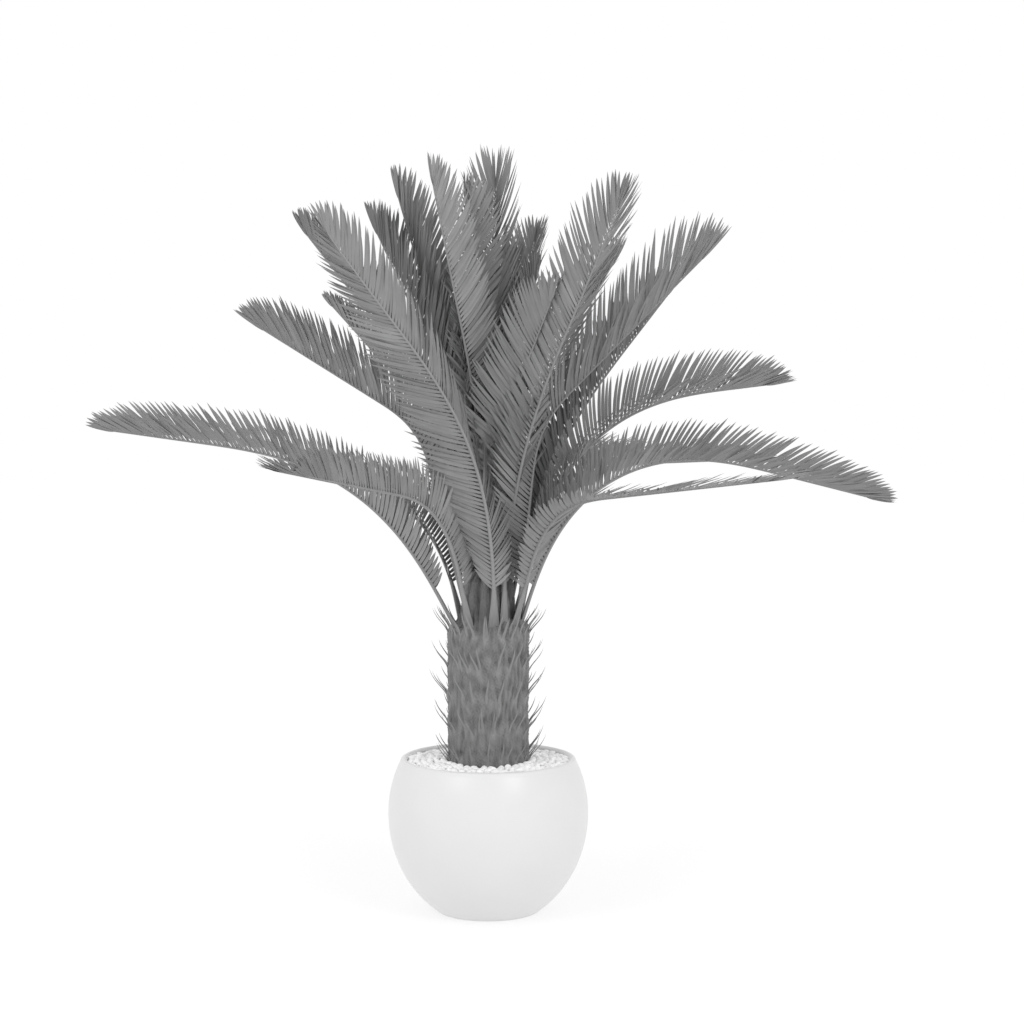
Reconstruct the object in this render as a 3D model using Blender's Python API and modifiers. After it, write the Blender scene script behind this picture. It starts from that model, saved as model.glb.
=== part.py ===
"""Artificial sago palm in a round white pot, 1.2 m tall.

A standalone Blender 4.5 script. Lengths are metres and +Z is up. The origin is the middle of the
pot's flat underside. Azimuths are degrees seen from above: 0 is +X, 90 is +Y, the back.
"""
import math
from typing import NamedTuple

import bmesh
import bpy
import numpy as np
from mathutils import Matrix, Vector
from mathutils.bvhtree import BVHTree

MM = 0.001
GAP = 0.3 * MM
OBJECT_NAME = "sago_palm"

# Pot: two half ellipses meet at its widest level
POT_HEIGHT = 0.242
POT_BELLY_RADIUS = 0.1575
POT_BELLY_LEVEL = 0.155
POT_LOWER_SPAN = 0.180
POT_UPPER_SPAN = 0.171
POT_WALL = 11 * MM
POT_FLOOR = 14 * MM
POT_LIP = 4 * MM
LIP_CORNERS = (135, 90, 45)
INNER_LEVELS = 8
OUTER_LEVELS = 10
TURN_STEPS = 36

# Filling and pebble bed
FILL_TOP = 0.2245
BED_DEPTH = 6.5 * MM
BED_CLEARANCE = 1.2 * MM
STONE_RINGS = 3
STONE_PITCH = 31 * MM
STONE_RADIUS = 11.6 * MM
STONE_FLATNESS = 0.56
STONE_LEVEL = 0.2338
STONE_TO_TRUNK = 0.9 * STONE_RADIUS
STONE_TO_POT = 1.12 * STONE_RADIUS

# Trunk: a straight post with a stepped top that the fronds stand on
TRUNK_RADIUS = 0.060
TRUNK_FOOT_RADIUS = 0.050
TRUNK_FOOT = 0.2100
WELL_FLOOR = TRUNK_FOOT - GAP
STEP_EDGES = {"low": TRUNK_RADIUS, "mid": 0.0400, "top": 0.0225}
STEP_LEVELS = {"low": 0.440, "mid": 0.458, "top": 0.476}

# Bract collars round the trunk
COLLAR_TIERS = 5
COLLAR_PITCH = 0.049
COLLAR_TOP = 0.452
COLLAR_TEETH = 18
COLLAR_THICKNESS = 1.6 * MM
COLLAR_FOOT_RADIUS = 0.0622
COLLAR_HEAD_RADIUS = 0.0650
TOOTH_OUT = 0.027
TOOTH_UP = 0.031
KNEE_OUT = 0.72 * TOOTH_OUT
KNEE_UP = 0.34 * TOOTH_UP
KNEE_WIDTH = 0.34

# Fronds: a rib with a row of leaflets on both sides
SEATS = {"low": 0.0470, "mid": 0.0310, "top": 0.0140}
RIB_STEPS = 160
ROLL_FROM = 0.1
ROLL_SPAN = 0.3
RIB_HALF_WIDTHS = (4.0 * MM, 1.3 * MM)
RIB_THICKNESSES = (8.0 * MM, 2.6 * MM)
BLADE_THICKNESS = 1.3 * MM
FOOT_DEPTH = 9 * MM
BARE_LENGTH = 0.078
PETIOLE_STATIONS = 2
LEAFLET_PITCH = 0.033
SWEEPS = (70.0, 46.0, 28.0)
SWEEP_TURN = 0.80
LEAFLET_LEAN = 0.125
FIRST_LEAFLET = 0.38
FULL_FROM = 0.21
LAST_LEAFLET = 0.55
SHORTER_FROM = 0.82
SHORTER_POWER = 2.0
SPLIT_BEND = 55.0
SPLIT_GAP = 0.6 * MM
SPLIT_COLLAR = 5 * MM
CLEARANCE = 0.5 * MM
FOLD_TRIES = (0, 10, 20, -14, 28)
LENGTH_TRIES = (1.0, 0.84, 0.68, 0.54, 0.42, 0.3)
STEEPEST_FOLD = 82.0


class Frond(NamedTuple):
    """Sizes of one frond; a rise and a droop are elevations of the rib at its foot and tip."""
    name: str
    seat: str
    azimuth: float
    sway: float
    length: float
    rise: float
    droop: float
    bend_from: float
    bend_to: float
    roll: float
    fold: float
    reach: float


FRONDS = (
    Frond("frond_low_01", "low", 188, -6, 0.66, 62, 8, 0.05, 0.80, -16, 60, 0.072),
    Frond("frond_low_02", "low", 236, 8, 0.57, 72, 9, 0.12, 0.60, 0, 72, 0.064),
    Frond("frond_low_03", "low", 280, -122, 0.70, 72, 53, 0.15, 0.75, 84, 42, 0.088),
    Frond("frond_low_04", "low", 303, -4, 0.55, 90, 52, 0.40, 0.80, 0, 36, 0.085),
    Frond("frond_low_05", "low", 324, -8, 0.63, 72, 7, 0.15, 0.50, 4, 8, 0.064),
    Frond("frond_low_06", "low", 340, 12, 0.68, 84, 45, 0.35, 0.60, 26, 44, 0.108),
    Frond("frond_low_07", "low", 356, -8, 0.69, 72, -14, 0.05, 0.80, 24, 52, 0.071),
    Frond("frond_low_08", "low", 14, 7, 0.65, 78, 6, 0.10, 0.90, 28, 56, 0.080),
    Frond("frond_low_09", "low", 36, 0, 0.60, 74, 0, 0.05, 0.75, 0, 28, 0.078),
    Frond("frond_low_10", "low", 62, 0, 0.60, 76, 0, 0.05, 0.75, 0, 32, 0.080),
    Frond("frond_low_11", "low", 100, 0, 0.60, 76, 2, 0.05, 0.75, 0, 44, 0.085),
    Frond("frond_low_12", "low", 145, 0, 0.50, 73, 7, 0.05, 0.72, 0, 34, 0.075),
    Frond("frond_mid_01", "mid", 187, 0, 0.59, 76, 32, 0.40, 0.65, -20, 66, 0.085),
    Frond("frond_mid_02", "mid", 172, -12, 0.69, 86, 50, 0.30, 0.60, 0, 70, 0.075),
    Frond("frond_mid_03", "mid", 152, 8, 0.64, 90, 63, 0.10, 0.80, 0, 58, 0.088),
    Frond("frond_mid_04", "mid", 135, 8, 0.61, 80, 40, 0.10, 0.80, 0, 66, 0.050),
    Frond("frond_mid_05", "mid", 113, 0, 0.62, 84, 52, 0.15, 0.75, 0, 50, 0.090),
    Frond("frond_mid_06", "mid", 76, -2, 0.68, 88, 50, 0.05, 0.85, 0, 50, 0.085),
    Frond("frond_mid_07", "mid", 50, 0, 0.66, 84, 46, 0.10, 0.80, 0, 54, 0.090),
    Frond("frond_mid_08", "mid", 21, 8, 0.60, 76, 48, 0.05, 0.85, 0, 60, 0.085),
    Frond("frond_mid_09", "mid", 312, -10, 0.70, 84, 54, 0.00, 0.75, -18, 44, 0.088),
    Frond("frond_mid_10", "mid", 94, -28, 0.60, 86, 62, 0.10, 0.80, 0, 50, 0.085),
    Frond("frond_top_01", "top", 157, -13, 0.67, 88, 70, 0.05, 0.70, 0, 60, 0.085),
    Frond("frond_top_02", "top", 233, 6, 0.67, 90, 70, 0.15, 0.70, -4, 56, 0.074),
    Frond("frond_top_03", "top", 88, -8, 0.673, 90, 74, 0.30, 0.90, 0, 50, 0.106),
    Frond("frond_top_04", "top", 52, -6, 0.46, 90, 80, 0.20, 0.80, 0, 50, 0.080),
    Frond("frond_top_05", "top", 14, 0, 0.52, 90, 76, 0.20, 0.80, 0, 50, 0.080),
    Frond("frond_top_06", "top", 124, 0, 0.64, 90, 82, 0.20, 0.80, 0, 46, 0.078),
)


def clear_scene():
    for obj in list(bpy.data.objects):
        bpy.data.objects.remove(obj, do_unlink=True)


def make_material(name, grey, roughness, metallic=0.0):
    """A Principled material of one neutral grey, as the photographed plant is."""
    material = bpy.data.materials.new(name)
    material.use_nodes = True
    shader = material.node_tree.nodes["Principled BSDF"]
    shader.inputs["Base Color"].default_value = (grey, grey, grey, 1.0)
    shader.inputs["Roughness"].default_value = roughness
    shader.inputs["Metallic"].default_value = metallic
    return material


def add_object(name, mesh, material, collection):
    obj = bpy.data.objects.new(name, mesh)
    obj.data.materials.append(material)
    collection.objects.link(obj)
    return obj


def evaluated_mesh(obj):
    """The object's mesh with its modifiers applied."""
    bpy.context.view_layer.update()
    graph = bpy.context.evaluated_depsgraph_get()
    return bpy.data.meshes.new_from_object(obj.evaluated_get(graph))


def turned(name, profile, material, collection):
    """Turn a profile of (radius, height) points round the Z axis."""
    mesh = bpy.data.meshes.new(name)
    points = [(radius, 0.0, height) for radius, height in profile]
    mesh.from_pydata(points, [(i, i + 1) for i in range(len(points) - 1)], [])
    obj = add_object(name, mesh, material, collection)
    screw = obj.modifiers.new("Turn", "SCREW")
    screw.axis = "Z"
    screw.steps = TURN_STEPS
    screw.render_steps = TURN_STEPS
    screw.use_merge_vertices = True
    screw.merge_threshold = 0.0001
    screw.use_smooth_shade = True
    return obj


def pot_radius(height):
    """Outer radius of the pot at a height."""
    span = POT_LOWER_SPAN if height < POT_BELLY_LEVEL else POT_UPPER_SPAN
    return POT_BELLY_RADIUS * math.sqrt(1.0 - ((height - POT_BELLY_LEVEL) / span) ** 2)


LIP_LEVEL = POT_HEIGHT - POT_LIP
BORE_LEVELS = np.linspace(POT_FLOOR, LIP_LEVEL, INNER_LEVELS)


def bore_radius(height):
    """Inner radius of the pot at a height, along the straight facets between its levels."""
    return float(np.interp(height, BORE_LEVELS, [pot_radius(z) - POT_WALL for z in BORE_LEVELS]))


def make_pot(material, collection):
    inner = [(bore_radius(z), z) for z in BORE_LEVELS]
    crown = 0.5 * (pot_radius(LIP_LEVEL) + bore_radius(LIP_LEVEL))
    lip = []
    for angle in np.radians(LIP_CORNERS):
        lip.append((crown + 0.5 * POT_WALL * math.cos(angle), LIP_LEVEL + POT_LIP * math.sin(angle)))
    outer = [(pot_radius(z), z) for z in np.linspace(LIP_LEVEL, 0.0, OUTER_LEVELS)]
    profile = [(0.0, POT_FLOOR)] + inner + lip + outer + [(0.0, 0.0)]
    return turned("pot", profile, material, collection)


def well_radius():
    """Radius of the trunk's well, whose flats stay clear of the trunk's corners."""
    return (TRUNK_RADIUS + GAP) / math.cos(math.pi / TURN_STEPS)


def make_fill(material, collection):
    floor = POT_FLOOR + GAP
    levels = [FILL_TOP] + [z for z in reversed(BORE_LEVELS) if floor < z < FILL_TOP] + [floor]
    wall = [(bore_radius(z) - 2 * GAP, z) for z in levels]
    well = [(0.0, WELL_FLOOR), (well_radius(), WELL_FLOOR), (well_radius(), FILL_TOP)]
    return turned("pot_fill", well + wall + [(0.0, floor)], material, collection)


def make_trunk(material, collection):
    profile = [(0.0, STEP_LEVELS["top"])]
    for step, bottom in (("top", STEP_LEVELS["mid"]), ("mid", STEP_LEVELS["low"]), ("low", FILL_TOP)):
        profile += [(STEP_EDGES[step], STEP_LEVELS[step]), (STEP_EDGES[step], bottom)]
    profile += [(TRUNK_FOOT_RADIUS, TRUNK_FOOT), (0.0, TRUNK_FOOT)]
    return turned("trunk", profile, material, collection)


def join_all(name, target, others, collection):
    """Fuse a list of objects with the target by one Boolean union, and drop the others."""
    group = bpy.data.collections.new(name + "_parts")
    bpy.context.scene.collection.children.link(group)
    for obj in others:
        group.objects.link(obj)
    union = target.modifiers.new("Union", "BOOLEAN")
    union.operation = "UNION"
    union.operand_type = "COLLECTION"
    union.collection = group
    union.solver = "EXACT"
    mesh = evaluated_mesh(target)
    for obj in others:
        bpy.data.objects.remove(obj, do_unlink=True)
    bpy.data.collections.remove(group)
    target.modifiers.clear()
    target.data = mesh
    return target


def make_pebbles(material, collection):
    """A low ring of bedding with rows of flat stones standing out of it."""
    bottom = FILL_TOP + GAP
    top = bottom + BED_DEPTH
    inner = COLLAR_HEAD_RADIUS + COLLAR_THICKNESS + BED_CLEARANCE
    outer = bore_radius(bottom) - 2 * GAP
    outer_top = bore_radius(top) - 2 * GAP
    ring = [(inner, bottom), (inner, top), (outer_top, top), (outer, bottom), (inner, bottom)]
    bed = turned("pebbles", ring, material, collection)
    rng = np.random.default_rng(11)
    first = inner + STONE_TO_TRUNK
    last = bore_radius(STONE_LEVEL) - STONE_TO_POT
    stones = []
    for row in range(STONE_RINGS):
        radius = first + (last - first) * row / (STONE_RINGS - 1)
        count = int(2 * math.pi * radius / STONE_PITCH)
        for k in range(count):
            angle = 2 * math.pi * (k + 0.5 * row + rng.uniform(-0.1, 0.1)) / count
            bm = bmesh.new()
            bmesh.ops.create_icosphere(bm, subdivisions=1, radius=STONE_RADIUS)
            stretch = rng.uniform(0.85, 1.0)
            shape = Matrix.Diagonal((1.0, stretch, STONE_FLATNESS, 1.0))
            spin = Matrix.Rotation(rng.uniform(0, math.pi), 4, "Z")
            tumble = Matrix.Rotation(rng.uniform(0, 2 * math.pi), 4, Vector(rng.normal(size=3)))
            height = STONE_LEVEL + rng.uniform(-1, 1) * MM
            place = (radius * math.cos(angle), radius * math.sin(angle), height)
            bmesh.ops.transform(bm, matrix=Matrix.Translation(place) @ spin @ shape @ tumble, verts=bm.verts)
            mesh = bpy.data.meshes.new("stone")
            bm.to_mesh(mesh)
            bm.free()
            stones.append(bpy.data.objects.new("stone", mesh))
    return join_all("pebbles", bed, stones, collection)


def rib_line(frond):
    """Share of the length, points and axes (along, side, up) at even steps along a rib."""
    share = np.linspace(0.0, 1.0, RIB_STEPS + 1)
    bend = np.clip((share - frond.bend_from) / (frond.bend_to - frond.bend_from), 0.0, 1.0)
    bend = bend * bend * (3.0 - 2.0 * bend)
    elevation = np.radians(frond.rise + (frond.droop - frond.rise) * bend)
    azimuth = np.radians(frond.azimuth + frond.sway * share)
    level = np.cos(elevation)
    along = np.stack([level * np.cos(azimuth), level * np.sin(azimuth), np.sin(elevation)], -1)
    seat = SEATS[frond.seat]
    start = math.radians(frond.azimuth)
    foot = np.array([seat * math.cos(start), seat * math.sin(start), STEP_LEVELS[frond.seat]])
    steps = 0.5 * (along[1:] + along[:-1]) * frond.length / RIB_STEPS
    points = np.vstack([foot, foot + np.cumsum(steps, 0)])
    side = np.stack([-np.sin(azimuth), np.cos(azimuth), 0 * azimuth], -1)
    up = np.cross(along, side)
    turn = np.radians(frond.roll) * np.clip((share - ROLL_FROM) / ROLL_SPAN, 0.0, 1.0)[:, None]
    rolled_side = np.cos(turn) * side + np.sin(turn) * up
    rolled_up = np.cos(turn) * up - np.sin(turn) * side
    return share, points, along, rolled_side, rolled_up


def rib_at(line, share):
    """Point and axes of a rib at one share of its length, straight on below its foot."""
    steps, *curves = line
    point, along, side, up = (
        Vector([np.interp(share, steps, curve[:, k]) for k in range(3)]) for curve in curves)
    return point, along.normalized(), side.normalized(), up.normalized()


def taper(ends, share):
    return ends[0] + (ends[1] - ends[0]) * min(max(share, 0.0), 1.0)


class Station(NamedTuple):
    """A cross section of the rib."""
    share: float
    point: Vector
    along: Vector
    side: Vector
    up: Vector

    def edge(self, hand, pad=0.0):
        return self.point + self.side * hand * (taper(RIB_HALF_WIDTHS, self.share) + pad)


def station(line, share, shift=0.0):
    point, along, side, up = rib_at(line, share)
    return Station(share, point + along * shift, along, side, up)


def leaf_share(frond, share):
    """How far along the leafy stretch a share of the whole rib lies."""
    bare = BARE_LENGTH / frond.length
    return (share - bare) / (1.0 - bare)


def leaflet_length(frond, u):
    """Full length of a leaflet, shorter at the foot of the row and towards the tip."""
    foot = FIRST_LEAFLET + (1.0 - FIRST_LEAFLET) * min(u / FULL_FROM, 1.0)
    end = max(u - SHORTER_FROM, 0.0) / (1.0 - SHORTER_FROM)
    return frond.reach * foot * (1.0 - (1.0 - LAST_LEAFLET) * end ** SHORTER_POWER)


def leaflet_tip(frond, here, root, u, hand, fold, scale):
    """Tip of a leaflet that leaves the rib at its sweep and is folded up by an angle."""
    turn = max(u - SWEEP_TURN, 0.0) / (1.0 - SWEEP_TURN)
    sweep = math.radians(SWEEPS[0] + (SWEEPS[1] - SWEEPS[0]) * u + (SWEEPS[2] - SWEEPS[1]) * turn)
    tilt = math.radians(min(fold, STEEPEST_FOLD))
    out = here.side * hand * math.cos(tilt) + here.up * math.sin(tilt)
    direction = here.along * (math.cos(sweep) + LEAFLET_LEAN) + out * math.sin(sweep)
    return root + direction * leaflet_length(frond, u) * scale


def slab(corners, half):
    """Corners and faces of a flat polygon thickened by half on both sides."""
    normal = (corners[1] - corners[0]).cross(corners[2] - corners[0]).normalized()
    n = len(corners)
    points = [c + normal * half for c in corners] + [c - normal * half for c in corners]
    faces = [tuple(range(n)), tuple(range(2 * n - 1, n - 1, -1))]
    faces += [(i, i + n, (i + 1) % n + n, (i + 1) % n) for i in range(n)]
    return points, faces


def rib_hull(stations):
    """A four-sided tube round a row of stations, with the clearance added."""
    points = []
    faces = []
    for here in stations:
        thick = 0.5 * taper(RIB_THICKNESSES, here.share) + CLEARANCE
        points += [here.edge(1, CLEARANCE), here.point + here.up * thick,
                   here.edge(-1, CLEARANCE), here.point - here.up * thick]
    for row in range(len(stations) - 1):
        base = 4 * row
        faces += [(base + i, base + (i + 1) % 4, base + 4 + (i + 1) % 4, base + 4 + i) for i in range(4)]
    faces += [(3, 2, 1, 0), tuple(4 * (len(stations) - 1) + i for i in range(4))]
    return points, faces


def tree_of(shapes):
    """One search tree over a list of (points, faces) shapes."""
    points = []
    faces = []
    for shape_points, shape_faces in shapes:
        base = len(points)
        points += shape_points
        faces += [tuple(base + i for i in face) for face in shape_faces]
    return BVHTree.FromPolygons(points, faces)


def frond_stations(frond):
    """The rib's stations in one or two runs: an arching frond is split at its bend."""
    line = rib_line(frond)
    bare = BARE_LENGTH / frond.length
    petiole = [station(line, 0.0, -FOOT_DEPTH)]
    petiole += [station(line, bare * k / PETIOLE_STATIONS) for k in range(1, PETIOLE_STATIONS + 1)]
    count = round((frond.length - BARE_LENGTH) / LEAFLET_PITCH)
    shares = [bare + (1.0 - bare) * k / count for k in range(1, count + 1)]
    leafy = [station(line, share) for share in shares]
    if frond.rise - frond.droop < SPLIT_BEND:
        return [petiole + leafy], petiole + leafy
    middle = 0.5 * (frond.bend_from + frond.bend_to)
    cut = min(range(count), key=lambda k: abs(shares[k] - middle))
    near = 0.5 * SPLIT_GAP
    far = near + SPLIT_COLLAR
    before = petiole + leafy[:cut] + [station(line, shares[cut], shift) for shift in (-far, -near)]
    after = [station(line, shares[cut], shift) for shift in (near, far)] + leafy[cut + 1:]
    return [before, after], petiole + leafy


def fitted_leaflets(frond, run, obstacles):
    """Tips of the leaflets of a run, each folded or shortened until it is clear, or skipped."""
    tips = {}
    shapes = []
    for k in range(len(run) - 1):
        u = leaf_share(frond, 0.5 * (run[k].share + run[k + 1].share))
        if u <= 0.0 or (run[k + 1].point - run[k].point).length < 2 * SPLIT_COLLAR:
            continue
        for hand in (1, -1):
            low = run[k].edge(hand)
            high = run[k + 1].edge(hand)
            root = 0.5 * (low + high)
            tries = [(scale, frond.fold + extra) for scale in LENGTH_TRIES for extra in FOLD_TRIES]
            for scale, fold in tries:
                tip = leaflet_tip(frond, run[k], root, u, hand, fold, scale)
                shape = slab([low, high, tip], 0.5 * BLADE_THICKNESS + CLEARANCE)
                tree = tree_of([shape])
                if not any(obstacle.overlap(tree) for obstacle in obstacles):
                    tips[(k, hand)] = tip
                    shapes.append(shape)
                    break
    return tips, shapes


def frond_piece(name, frond, run, tips, last, material, collection):
    """A strip along the rib whose outer edges are drawn out into leaflets, then thickened."""
    bm = bmesh.new()
    weights = bm.verts.layers.deform.verify()
    bmesh.ops.create_grid(bm, x_segments=2, y_segments=len(run) - 1, size=1.0)
    bm.verts.ensure_lookup_table()
    blade = BLADE_THICKNESS / RIB_THICKNESSES[0]
    for k, here in enumerate(run):
        row = bm.verts[3 * k:3 * k + 3]
        for vert, hand in zip(row, (1, 0, -1)):
            vert.co = here.edge(hand) if hand else here.point
            vert[weights][0] = blade if hand else taper(RIB_THICKNESSES, here.share) / RIB_THICKNESSES[0]
    verts = list(bm.verts)

    def draw_out(edges, tip):
        """Extrude edges and gather the new corners into one point."""
        new = bmesh.ops.extrude_edge_only(bm, edges=edges)["geom"]
        corners = [g for g in new if isinstance(g, bmesh.types.BMVert)]
        for corner in corners:
            corner[weights][0] = blade
        bmesh.ops.pointmerge(bm, verts=corners, merge_co=tip)

    for (k, hand), tip in tips.items():
        column = 0 if hand == 1 else 2
        edge = bm.edges.get((verts[3 * k + column], verts[3 * k + 3 + column]))
        draw_out([edge], tip)
    if last:
        end = verts[-3:]
        top = run[-1]
        ends = [bm.edges.get((end[0], end[1])), bm.edges.get((end[1], end[2]))]
        draw_out(ends, top.point + top.along * leaflet_length(frond, 1.0))
    bmesh.ops.recalc_face_normals(bm, faces=bm.faces)
    mesh = bpy.data.meshes.new(name)
    bm.to_mesh(mesh)
    bm.free()
    obj = add_object(name, mesh, material, collection)
    obj.vertex_groups.new(name="thickness")
    solidify = obj.modifiers.new("Thickness", "SOLIDIFY")
    solidify.thickness = RIB_THICKNESSES[0]
    solidify.offset = 0.0
    solidify.vertex_group = "thickness"
    solidify.use_rim = True
    return obj


def cut_foot(obj, level):
    """Cut the petiole's foot level, just above the step of the trunk that it stands on."""
    mesh = evaluated_mesh(obj)
    bm = bmesh.new()
    bm.from_mesh(mesh)
    geometry = list(bm.verts) + list(bm.edges) + list(bm.faces)
    bmesh.ops.bisect_plane(bm, geom=geometry, plane_co=(0, 0, level), plane_no=(0, 0, 1), clear_inner=True)
    rim = [edge for edge in bm.edges if edge.is_boundary]
    bmesh.ops.edgeloop_fill(bm, edges=rim)
    bmesh.ops.recalc_face_normals(bm, faces=bm.faces)
    bm.to_mesh(mesh)
    bm.free()
    obj.modifiers.clear()
    obj.data = mesh


def make_fronds(material, collection):
    """All fronds, the ones that show in front first, so that these keep their full leaflets."""
    runs = {}
    hulls = {}
    for frond in FRONDS:
        pieces, whole = frond_stations(frond)
        runs[frond.name] = pieces
        hulls[frond.name] = rib_hull(whole)
    done = []
    for frond in FRONDS:
        others = tree_of([hull for name, hull in hulls.items() if name != frond.name])
        obstacles = [others] + ([tree_of(done)] if done else [])
        pieces = runs[frond.name]
        for number, run in enumerate(pieces):
            tips, shapes = fitted_leaflets(frond, run, obstacles)
            suffix = ("_foot", "_blade")[number] if len(pieces) > 1 else ""
            last = number == len(pieces) - 1
            obj = frond_piece(frond.name + suffix, frond, run, tips, last, material, collection)
            if number == 0:
                cut_foot(obj, STEP_LEVELS[frond.seat] + GAP)
            done += shapes
    return tree_of(list(hulls.values()) + done)


def make_collar(number, material, collection, crown):
    """A sleeve round the trunk whose upper edge is drawn out into pointed, bent bracts."""
    head = COLLAR_TOP - COLLAR_PITCH * (COLLAR_TIERS - 1 - number)
    foot = max(head - COLLAR_PITCH + GAP, FILL_TOP + GAP)
    bm = bmesh.new()
    bmesh.ops.create_cone(bm, cap_ends=False, segments=COLLAR_TEETH, radius1=COLLAR_FOOT_RADIUS,
                          radius2=COLLAR_HEAD_RADIUS, depth=head - foot)
    half_step = math.pi / COLLAR_TEETH
    lift = Matrix.Translation((0, 0, 0.5 * (head + foot)))
    bmesh.ops.transform(bm, matrix=lift @ Matrix.Rotation(half_step * (number % 2), 4, "Z"), verts=bm.verts)
    upper = [e for e in bm.edges if all(v.co.z > head - MM for v in e.verts)]
    for edge in upper:
        middle = 0.5 * (edge.verts[0].co + edge.verts[1].co)
        out = Vector((middle.x, middle.y, 0)).normalized()
        knee = middle + out * KNEE_OUT + Vector((0, 0, KNEE_UP))
        tip = middle + out * TOOTH_OUT + Vector((0, 0, TOOTH_UP))
        low, high = (v.co.copy() for v in edge.verts)
        waist = [knee + (corner - middle) * KNEE_WIDTH for corner in (low, high)]
        blade = slab([low, high, waist[1], waist[0]], COLLAR_THICKNESS)
        point = slab([waist[0], waist[1], tip], COLLAR_THICKNESS)
        if crown.overlap(tree_of([blade, point])):
            continue
        new = bmesh.ops.extrude_edge_only(bm, edges=[edge])["geom"]
        corners = [g for g in new if isinstance(g, bmesh.types.BMVert)]
        for corner in corners:
            corner.co = knee + (corner.co - middle) * KNEE_WIDTH
        span = [g for g in new if isinstance(g, bmesh.types.BMEdge) and all(v in corners for v in g.verts)]
        new = bmesh.ops.extrude_edge_only(bm, edges=span)["geom"]
        bmesh.ops.pointmerge(bm, verts=[g for g in new if isinstance(g, bmesh.types.BMVert)], merge_co=tip)
    bmesh.ops.recalc_face_normals(bm, faces=bm.faces)
    name = "bract_collar_%d" % (number + 1)
    mesh = bpy.data.meshes.new(name)
    bm.to_mesh(mesh)
    bm.free()
    obj = add_object(name, mesh, material, collection)
    solidify = obj.modifiers.new("Thickness", "SOLIDIFY")
    solidify.thickness = COLLAR_THICKNESS
    solidify.offset = 0.0
    return obj


def main():
    clear_scene()
    collection = bpy.data.collections.new(OBJECT_NAME)
    bpy.context.scene.collection.children.link(collection)
    white = make_material("pot_white", 0.84, 0.32)
    filler = make_material("filler", 0.45, 0.9)
    stone = make_material("pebble_white", 0.80, 0.5)
    bark = make_material("trunk_grey", 0.16, 0.85)
    bract = make_material("bract_grey", 0.19, 0.75)
    leaf = make_material("frond_grey", 0.20, 0.55)
    make_pot(white, collection)
    make_fill(filler, collection)
    make_pebbles(stone, collection)
    make_trunk(bark, collection)
    crown = make_fronds(leaf, collection)
    for number in range(COLLAR_TIERS):
        make_collar(number, bract, collection, crown)


main()
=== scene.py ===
"""Looks of the potted sago palm: fine fronds, a bract-covered trunk, pebbles, a white pot and a studio.

Laid out as a Blender add-on and run as a script. Lengths are metres, +Z is up, the origin is the
middle of the pot's flat underside, and azimuths are degrees seen from above, with 0 at +X.
"""
import math
from typing import NamedTuple

import bpy
import numpy as np
from bpy.props import FloatProperty, FloatVectorProperty, IntProperty, PointerProperty
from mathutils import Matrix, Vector


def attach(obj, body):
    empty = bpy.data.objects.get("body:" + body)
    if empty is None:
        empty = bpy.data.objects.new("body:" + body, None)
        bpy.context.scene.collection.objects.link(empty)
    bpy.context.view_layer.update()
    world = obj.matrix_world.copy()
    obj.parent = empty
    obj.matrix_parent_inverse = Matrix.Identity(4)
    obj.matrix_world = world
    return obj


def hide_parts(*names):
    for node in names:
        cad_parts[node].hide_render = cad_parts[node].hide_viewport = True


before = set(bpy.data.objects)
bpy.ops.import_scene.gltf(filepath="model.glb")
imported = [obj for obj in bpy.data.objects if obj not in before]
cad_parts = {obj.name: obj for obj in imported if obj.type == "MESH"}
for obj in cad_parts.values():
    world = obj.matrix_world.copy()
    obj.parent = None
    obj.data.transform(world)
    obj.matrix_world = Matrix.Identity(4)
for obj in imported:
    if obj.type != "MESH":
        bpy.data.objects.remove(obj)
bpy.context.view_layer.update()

bl_info = {
    "name": "Potted sago palm",
    "version": (1, 0, 0),
    "blender": (4, 5, 0),
    "location": "3D View > Sidebar > Sago palm",
    "description": "Fronds, trunk, pebbles and pot of an artificial sago palm",
    "category": "Object",
}

MM = 0.001
BODY = "root"

# Fronds: the rule and the sizes of the construction, repeated here
STEP_LEVELS = {"low": 0.440, "mid": 0.458, "top": 0.476}
SEATS = {"low": 0.0470, "mid": 0.0310, "top": 0.0140}
RIB_STEPS = 160
ROLL_FROM = 0.1
ROLL_SPAN = 0.3
FOOT_DEPTH = 9 * MM
BARE_LENGTH = 0.078
SWEEPS = (70.0, 46.0, 28.0)
SWEEP_TURN = 0.80
FIRST_LEAFLET = 0.38
FULL_FROM = 0.21
LAST_LEAFLET = 0.55
SHORTER_FROM = 0.82
SHORTER_POWER = 2.0
LEAFLET_CURVE = 0.25


class Frond(NamedTuple):
    """Sizes of one frond, and its tone from 0, the darkest, to 4, the palest: partly painted shade."""
    name: str
    seat: str
    azimuth: float
    sway: float
    length: float
    rise: float
    droop: float
    bend_from: float
    bend_to: float
    roll: float
    fold: float
    reach: float
    tone: int


# The last column, the tone, is partly the leaf's own and partly painted shade: fronds in the crown's shade
# get darker tones.
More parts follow.
